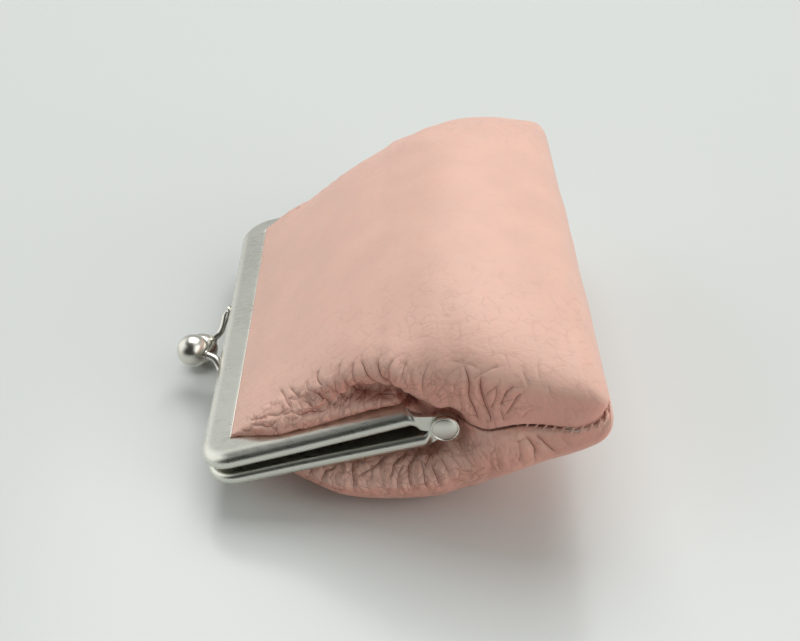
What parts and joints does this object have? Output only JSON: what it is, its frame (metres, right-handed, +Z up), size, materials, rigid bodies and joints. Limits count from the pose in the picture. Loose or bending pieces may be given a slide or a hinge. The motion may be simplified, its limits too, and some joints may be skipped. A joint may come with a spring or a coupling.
{
  "type": "clasp wallet",
  "caption": "Small soft leather coin purse on a hinged metal frame that snaps shut with a pair of crossing ball clasps.",
  "frame": {"origin": "on the table, under the centre of the purse's own box", "axes": "+X from the clasp bar towards the pouch's bottom seam, +Y along the bar and the hinge line, +Z up from the table"},
  "size_m": [0.082, 0.1042, 0.043],
  "materials": {
    "satin_nickel": "satin nickel plate on rolled steel sheet",
    "bright_nickel": "polished nickel plate",
    "pink_leather": "soft pebbled leather, pale salmon pink, low sheen",
    "lining_cloth": "plain woven cotton",
    "paper_twine": "twisted paper twine",
    "seam_cotton": "twisted thread"
  },
  "bodies": {
    "pouch": {"frame_lower": "satin_nickel", "clasp_stem_lower": "bright_nickel", "clasp_ball_lower": "bright_nickel", "hinge_rivet_near": "bright_nickel", "hinge_rivet_far": "bright_nickel", "leather_front": "pink_leather", "leather_back": "pink_leather", "lining_front": "lining_cloth", "lining_back": "lining_cloth", "twine_lower": "paper_twine", "seam_thread": "seam_cotton", "lining_thread": "seam_cotton"},
    "upper_frame": {"frame_upper": "satin_nickel", "clasp_stem_upper": "bright_nickel", "clasp_ball_upper": "bright_nickel", "twine_upper": "paper_twine"}
  },
  "joints": [
    {"name": "frame_hinge", "type": "hinge", "parent": "pouch", "child": "upper_frame", "pos_m": [0.0127, 0, 0.02034], "axis": [0, 1, 0], "range_deg": [0, 90], "deforming": ["leather_front", "lining_front"]}
  ]
}
